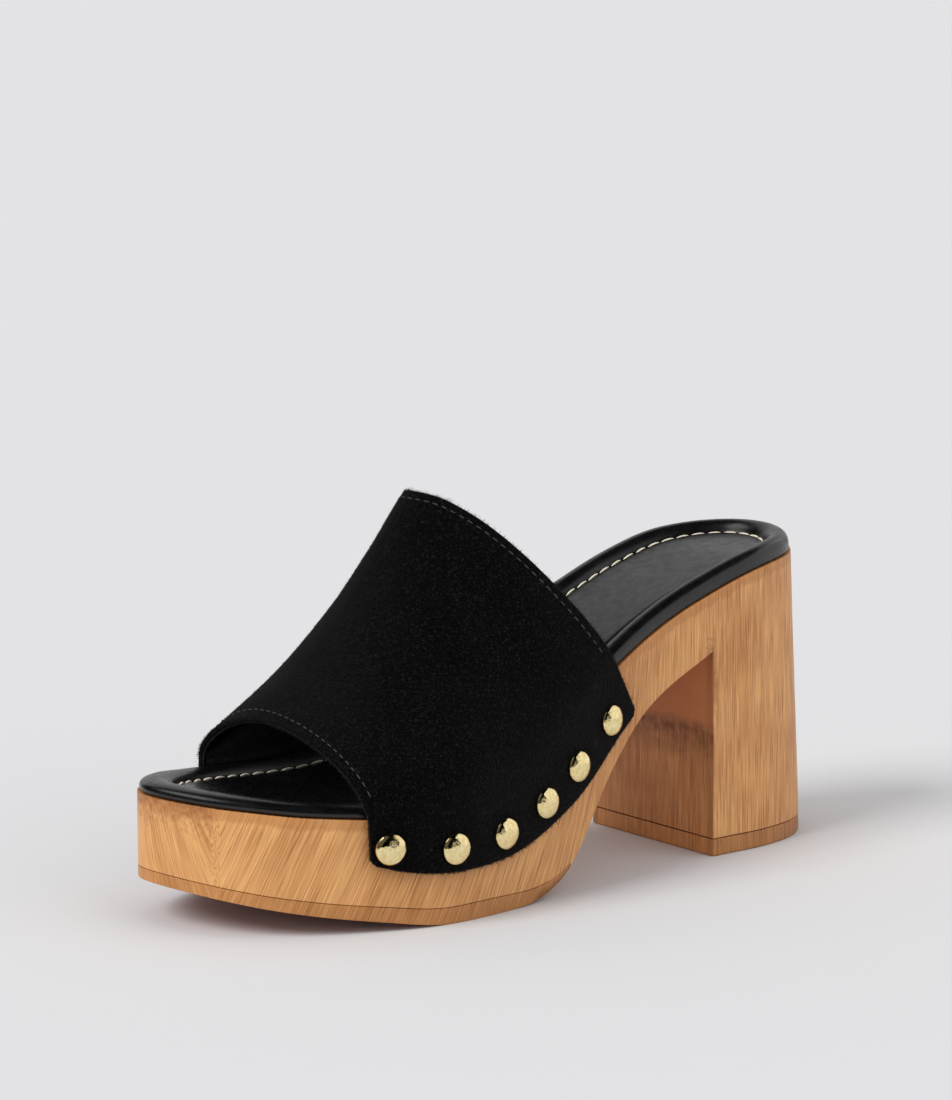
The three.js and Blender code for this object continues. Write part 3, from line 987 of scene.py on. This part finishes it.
def band_point(across, station):
    """Point on the band's outer face. Across runs from -1, inner edge, to 1, outer edge."""
    side = "outer" if across >= 0 else "inner"
    lean = math.radians(read(ARCH, station, 3))
    height = read(ARCH, station, 1)
    ridge = read(ARCH, station, 2)
    if abs(across) > ARCH_SHARE:
        climb = (ARCH_SHARE - abs(across)) / (1 - ARCH_SHARE)
        rise = mix(STRAIGHT_RISE, -read(OVERLAP, station), -climb)
    else:
        climb = 1 - abs(across) / ARCH_SHARE
        shoulder = mix(STRAIGHT_RISE, height, read(FULLNESS[side], station, 2))
        rise = bezier(climb, STRAIGHT_RISE, shoulder, height, height)
    foot = foot_x(side, station - math.sin(lean) * min(rise, STRAIGHT_RISE))
    x = foot
    if climb > 0:
        crown = mix(ridge, foot, read(FULLNESS[side], station, 1))
        x = bezier(climb, foot, foot, crown, ridge)
    return Vector(
        (x, station - rise * math.sin(lean), top_edge(station) + rise * math.cos(lean))
    )


def corner_cut(across, station, radius):
    """How far a rounded lower corner takes the cut edge back."""
    length = read(OVERLAP, station) + STRAIGHT_RISE
    above = (1 - abs(across)) / (1 - ARCH_SHARE) * length
    if above >= radius:
        return 0
    return radius - math.sqrt(radius * radius - (radius - above) ** 2)


def band_limits(across):
    first = read(TOE_CUT, across)
    last = read(COLLAR_CUT, across)
    first += corner_cut(across, first, FRONT_CORNER)
    last -= corner_cut(across, last, REAR_CORNER)
    return first, last


def on_band(across, share):
    first, last = band_limits(across)
    return band_point(across, mix(first, last, share))


def band_frame(across, share):
    """Place, outward direction, direction to the heel and direction up the band."""
    step = 0.004
    here = on_band(across, share)
    back = on_band(across, share + step) - on_band(across, share - step)
    low = max(-1, across - step)
    high = min(1, across + step)
    over = on_band(high, share) - on_band(low, share)
    out = over.cross(back).normalized()
    if out.dot(Vector((across, 0, 1))) < 0:
        out = -out
    return here, out, back.normalized(), over.normalized()


print("band ridge at the collar", on_band(0, 1))

# %% Material: black suede
def make_suede(name, dark, light):
    material, tree, shader, place = start_material(
        name,
        Roughness=1.0,
        Specular_IOR_Level=0.12,
        Sheen_Weight=0.14,
        Sheen_Roughness=0.35,
        Sheen_Tint=colour("#A8A3A0"),
    )
    nap = noise_at(tree, place, 0.5, 3.0, 0.8)
    tufts = noise_at(tree, place, 1.3, 3.0, 0.7)
    brushed = noise_at(tree, place, 22.0, 2.0, 0.5)
    brushed = maths(tree, "MULTIPLY", brushed, 0.6)
    total = maths(tree, "ADD", maths(tree, "ADD", nap, tufts), brushed)
    base = mixed(tree, spread(tree, total, 1.15, 1.75), dark, light)
    tips = noise_at(tree, place, 0.8, 2.0, 0.8)
    base = mixed(tree, spread(tree, tips, 0.55, 0.68, 0.0, 0.6), base, "#2C2927")
    paint(tree, shader, base, total, 0.0005, 0.9)
    return material


black_suede = make_suede("black_suede", "#000000", "#080707")
suede_nap = make_suede("suede_nap", "#030202", "#232020")
raw_edge = make_suede("raw_leather_edge", "#0A0907", "#35312B")

# %% Cut the two layers of the band
BAND_HALF_WIDTH = 120  # roughly, to turn the lining's setback into a share
BAND_LENGTH = 100
EDGE_ROUNDING = 0.28  # share of a layer's thickness
SUEDE_THICKNESS = 1.65
LINING_DEPTH = 1.7
LINING_THICKNESS = 0.9
LINING_SETBACK = 0.25


def band_layer(depth, thickness, setback, along, around):
    """A closed wall of leather inside the band's face, and the places of its outer face."""
    bm = bmesh.new()
    made = bmesh.ops.create_grid(bm, x_segments=around, y_segments=along, size=1)["verts"]
    for v in made:
        across = v.co.x * (1 - setback / BAND_HALF_WIDTH)
        share = mix(setback / BAND_LENGTH, 1 - setback / BAND_LENGTH, (v.co.y + 1) / 2)
        here, out, _, _ = band_frame(across, share)
        v.co = here - out * depth
        v.normal = out
    outs = {tuple(v.co): v.normal.copy() for v in made}
    places = [(v.co.copy(), v.normal.copy()) for v in made]
    extruded = bmesh.ops.extrude_face_region(bm, geom=bm.faces[:])["geom"]
    inner = {v for v in extruded if is_vert(v)}
    for v in inner:
        v.co -= outs[tuple(v.co)] * thickness
    face_outwards(bm)
    rim_faces = [f for f in bm.faces if 0 < sum(v in inner for v in f.verts) < len(f.verts)]
    for f in rim_faces:
        f.material_index = 1
    rim_edges = {
        e for f in rim_faces for e in f.edges if any(g not in rim_faces for g in e.link_faces)
    }
    bevel(bm, list(rim_edges), thickness * EDGE_ROUNDING, 2)
    return bm, places


bm, band_places = band_layer(0, SUEDE_THICKNESS, 0, 110, 150)
make_piece("suede_band", bm, [black_suede, raw_edge], ["upper"])
bm, _ = band_layer(LINING_DEPTH, LINING_THICKNESS, LINING_SETBACK, 90, 120)
make_piece("band_lining", bm, [black_leather, raw_edge])

# %% [markdown]
# ## Sewing the band
#
# The band is top-stitched along its toe cut and its collar cut. The fine grey stitches sink into
# the nap, and both rows stop a little above the wood.

# %% Sew the band's two cut edges
STITCH_INSIDE = 3.0
SEWN_TO = 0.77
LINE_STEPS = 400
BAND_PITCH = 3.2
GREY_LENGTH = 2.3
GREY_WIDTH = 0.38


def edge_line(inside):
    """Acrosses and shares of a line that runs a little inside one cut edge of the band."""
    line = []
    for k in range(LINE_STEPS + 1):
        across = mix(-SEWN_TO, SEWN_TO, k / LINE_STEPS)
        first, last = band_limits(across)
        share = inside / (last - first)
        line.append((across, share if inside > 0 else 1 + share))
    return line


bm = bmesh.new()
for inside in (STITCH_INSIDE, -STITCH_INSIDE):
    line = edge_line(inside)
    points = [on_band(*place) for place in line]
    for position in spaced(points, BAND_PITCH):
        n = int(position)
        across = mix(line[n][0], line[n + 1][0], position - n)
        here, out, _, _ = band_frame(across, line[n][1])
        along = (points[n + 1] - points[n]).normalized()
        length = GREY_LENGTH + chance.uniform(-0.15, 0.15)
        add_stitch(bm, here + out * 0.1, along, out, length, GREY_WIDTH)
face_outwards(bm)
make_piece("band_stitches", bm, [grey_thread])

# %% [markdown]
# ## Nap and loose fibres
#
# Suede is the flesh side of the hide, buffed until its fibres stand up. They give the band its
# dull, grainy black and its soft outline, and where the hide is cut they stick out furthest.
# Thousands of tiny spikes are set over the outer face and along the four cut edges, and all the
# hairs of one kind are one mesh.

# %% Set the nap
def add_fibre(bm, root, tip, width):
    """One hair: a three-sided spike."""
    along = (tip - root).normalized()
    side = along.orthogonal().normalized()
    other = along.cross(side)
    foot = [
        bm.verts.new(root + (side * math.cos(a) + other * math.sin(a)) * width / 2)
        for a in (0, math.tau / 3, 2 * math.tau / 3)
    ]
    end = bm.verts.new(tip)
    bm.faces.new(foot[::-1])
    for k in range(3):
        bm.faces.new((foot[k], foot[(k + 1) % 3], end))


NAP_HAIRS = 30000
NAP_LENGTH = (0.3, 0.7)
NAP_WIDTH = (0.08, 0.14)
bm = bmesh.new()
for _ in range(NAP_HAIRS):
    here, out = band_places[chance.randrange(len(band_places))]
    scatter = Vector([chance.uniform(-0.7, 0.7) for _ in range(3)])
    root = here + scatter - out * scatter.dot(out) - out * 0.05
    lean = Vector([chance.uniform(-1, 1) for _ in range(3)])
    way = (out * 0.75 + lean * 0.7 + Vector((0, 0.1, -0.35))).normalized()
    add_fibre(bm, root, root + way * chance.uniform(*NAP_LENGTH), chance.uniform(*NAP_WIDTH))
make_piece("suede_nap", bm, [suede_nap])


# %% Fibres along the cut edges
CUT_FIBRES = 1300
SIDE_FIBRES = 900
LONG_SHARE = 0.08
LONG_LENGTH = (1.2, 2.0)
SHORT_LENGTH = (0.4, 1.1)
LOOSE_WIDTH = 0.16


def loose(bm, across, share, away):
    """One hair on a cut edge, mostly pointing away from the leather."""
    here, out, back, up = band_frame(across, min(0.999, max(0.001, share)))
    root = here - out * chance.uniform(0.0, 1.5)
    lean = out * chance.uniform(-0.3, 0.7) + back * chance.uniform(-0.8, 0.8)
    lean += up * chance.uniform(-0.8, 0.8)
    way = (away(back, up) + lean * 0.8).normalized()
    lengths = LONG_LENGTH if chance.random() < LONG_SHARE else SHORT_LENGTH
    add_fibre(bm, root, root + way * chance.uniform(*lengths), LOOSE_WIDTH)


bm = bmesh.new()
for _ in range(CUT_FIBRES):
    across = chance.uniform(-0.99, 0.99)
    loose(bm, across, 0, lambda back, up: -back)
    loose(bm, across, 1, lambda back, up: back)
for _ in range(SIDE_FIBRES):
    share = chance.uniform(0.03, 0.99)
    loose(bm, 1, share, lambda back, up: up)
    loose(bm, -1, share, lambda back, up: -up)
make_piece("loose_suede_fibres", bm, [suede_nap])

# %% [markdown]
# ## Studs
#
# Domed tacks of pale polished gold hold the band to the wood, six a side. Each is spun from its
# section like a turned part, with the few dents that a hammer leaves.

# %% Material: polished pale gold
def make_gold(name):
    material, tree, shader, place = start_material(name, Metallic=1.0, Roughness=0.13)
    wear = noise_at(tree, place, 1.2, 3.0, 0.6)
    base = mixed(tree, spread(tree, wear, 0.35, 0.7), "#FBEBB6", "#EBD08C")
    tree.links.new(spread(tree, wear, 0.4, 0.75, 0.08, 0.26), shader.inputs["Roughness"])
    dents = noise_at(tree, place, 1.4, 2.0, 0.6)
    paint(tree, shader, base, dents, 0.00022, 0.6)
    return material


pale_gold = make_gold("polished_pale_gold")

# %% Spin the studs and set them on the band
STUD_RADIUS = 4.95
STUD_DOME = 2.1
STUD_RIM = 0.3
STUD_STEPS = 32
DENT_DEPTH = 0.09
STUD_PLACES = [  # station, distance from the band's lower edge
    (50.6, 6.4),
    (70.9, 7.5),
    (89.2, 7.9),
    (105.8, 8.4),
    (120, 8.9),
    (135.7, 7.8),
]


def stud_mesh(seed):
    """A domed tack that stands on the origin. The seed chooses its dents."""
    bm = bmesh.new()
    section = [(0, 0), (STUD_RADIUS - 0.3, 0), (STUD_RADIUS, 0.15), (STUD_RADIUS, STUD_RIM)]
    for i in range(1, 10):
        a = math.pi / 2 * i / 10
        section.append((STUD_RADIUS * math.cos(a), STUD_RIM + STUD_DOME * math.sin(a)))
    section.append((0, STUD_RIM + STUD_DOME))
    verts = [bm.verts.new((r, 0, z)) for r, z in section]
    edges = [bm.edges.new(pair) for pair in zip(verts, verts[1:])]
    bmesh.ops.spin(
        bm,
        geom=verts + edges,
        cent=(0, 0, 0),
        axis=(0, 0, 1),
        angle=math.tau,
        steps=STUD_STEPS,
        use_merge=True,
    )
    bmesh.ops.remove_doubles(bm, verts=bm.verts, dist=0.001)
    face_outwards(bm)
    for v in bm.verts:
        if v.co.z > STUD_RIM + 0.2:
            dent = noise.noise(v.co * 0.45 + Vector((seed * 7.3, 0, 0)))
            v.co.z += DENT_DEPTH * dent
    return bm


def stud_seat(side, station, from_edge):
    """Place and outward direction where a tack goes through the band."""
    length = read(OVERLAP, station) + STRAIGHT_RISE
    across = 1 - from_edge / length * (1 - ARCH_SHARE)
    across = across if side == "lateral" else -across
    here = band_point(across, station)
    back = band_point(across, station + 0.5) - band_point(across, station - 0.5)
    over = band_point(across + 0.002, station) - band_point(across - 0.002, station)
    out = over.cross(back).normalized()
    return here, out if out.x * across > 0 else -out


for side in ("lateral", "medial"):
    for number, (station, from_edge) in enumerate(STUD_PLACES, 1):
        here, out = stud_seat(side, station, from_edge)
        bm = stud_mesh(number + (10 if side == "medial" else 0))
        turn = out.to_track_quat("Z", "Y").to_matrix().to_4x4()
        matrix = Matrix.Translation(here + out * GAP) @ turn
        bmesh.ops.transform(bm, matrix=matrix, verts=bm.verts)
        node = f"stud_{side}_{number}"
        make_piece(f"domed_{node}", bm, [pale_gold], [node])

# %% [markdown]
# ## Stage
#
# A pale floor and soft light, as in a shoe catalogue. The key light stands to the left of the
# camera, beyond the toe, so the toe is bright and a soft shadow falls behind the heel. Five pale
# boards around the shoe are seen only as reflections: they put the long highlights on the
# insole's roll and the bright and dark parts in each stud.

# %% Floor and world
floor_mesh = bpy.data.meshes.new("studio_floor")
bm = bmesh.new()
bmesh.ops.create_grid(bm, x_segments=1, y_segments=1, size=40)
bm.to_mesh(floor_mesh)
bm.free()
floor = bpy.data.objects.new("studio_floor", floor_mesh)
scene.collection.objects.link(floor)
floor_material, _, floor_shader, _ = start_material(
    "matt_white_floor", Roughness=0.9, Specular_IOR_Level=0.0
)
floor_shader.inputs["Base Color"].default_value = colour("#DEDEDF")
floor_mesh.materials.append(floor_material)

scene.view_settings.view_transform = "Standard"
world = bpy.data.worlds.new("studio")
scene.world = world
world.use_nodes = True
background = world.node_tree.nodes["Background"]
background.inputs["Color"].default_value = colour("#F2F2F4")
background.inputs["Strength"].default_value = 0.66
world.cycles_visibility.glossy = False
print("floor of", len(floor_mesh.polygons), "face")


# %% Lights
LIGHT_AIM = Vector((0, 0, 0.05))
SUNS = [  # name, azimuth, elevation, strength, angle it fills
    ("key_softbox", 0, 42, 1.8, 28),
    ("fill_softbox", 115, 35, 0.45, 60),
]
CARDS = [  # name, azimuth, elevation, distance, width, height, brightness
    ("back_wall", 235, 24, 2.4, 3.2, 2.0, 0.62),
    ("right_wall", 156, 26, 2.4, 4.2, 2.6, 0.9),
    ("window", 96, 9, 2.4, 0.8, 0.6, 0.35),
    ("high_softbox", -30, 52, 2.2, 1.6, 1.0, 2.4),
    ("dim_room", 10, 40, 3.0, 5.0, 3.6, 0.1),
]


def place_lamp(name, light, azimuth, elevation, distance):
    lamp = bpy.data.objects.new(name, light)
    scene.collection.objects.link(lamp)
    source = direction(azimuth, elevation)
    lamp.rotation_euler = source.to_track_quat("Z", "Y").to_euler()
    lamp.location = source * distance + LIGHT_AIM
    return lamp


def sun(name, azimuth, elevation, strength, angle):
    """A wide soft light that isn't seen in reflections."""
    light = bpy.data.lights.new(name, "SUN")
    light.energy = strength
    light.angle = math.radians(angle)
    place_lamp(name, light, azimuth, elevation, 3).visible_glossy = False


def card(name, azimuth, elevation, distance, width, height, brightness):
    """A pale board that is only seen in reflections."""
    light = bpy.data.lights.new(name, "AREA")
    light.shape = "RECTANGLE"
    light.size = width
    light.size_y = height
    light.energy = brightness * math.pi * width * height
    lamp = place_lamp(name, light, azimuth, elevation, distance)
    lamp.visible_diffuse = False
    lamp.visible_transmission = False


for row in SUNS:
    sun(*row)
for row in CARDS:
    card(*row)
print(len(SUNS), "suns and", len(CARDS), "boards")
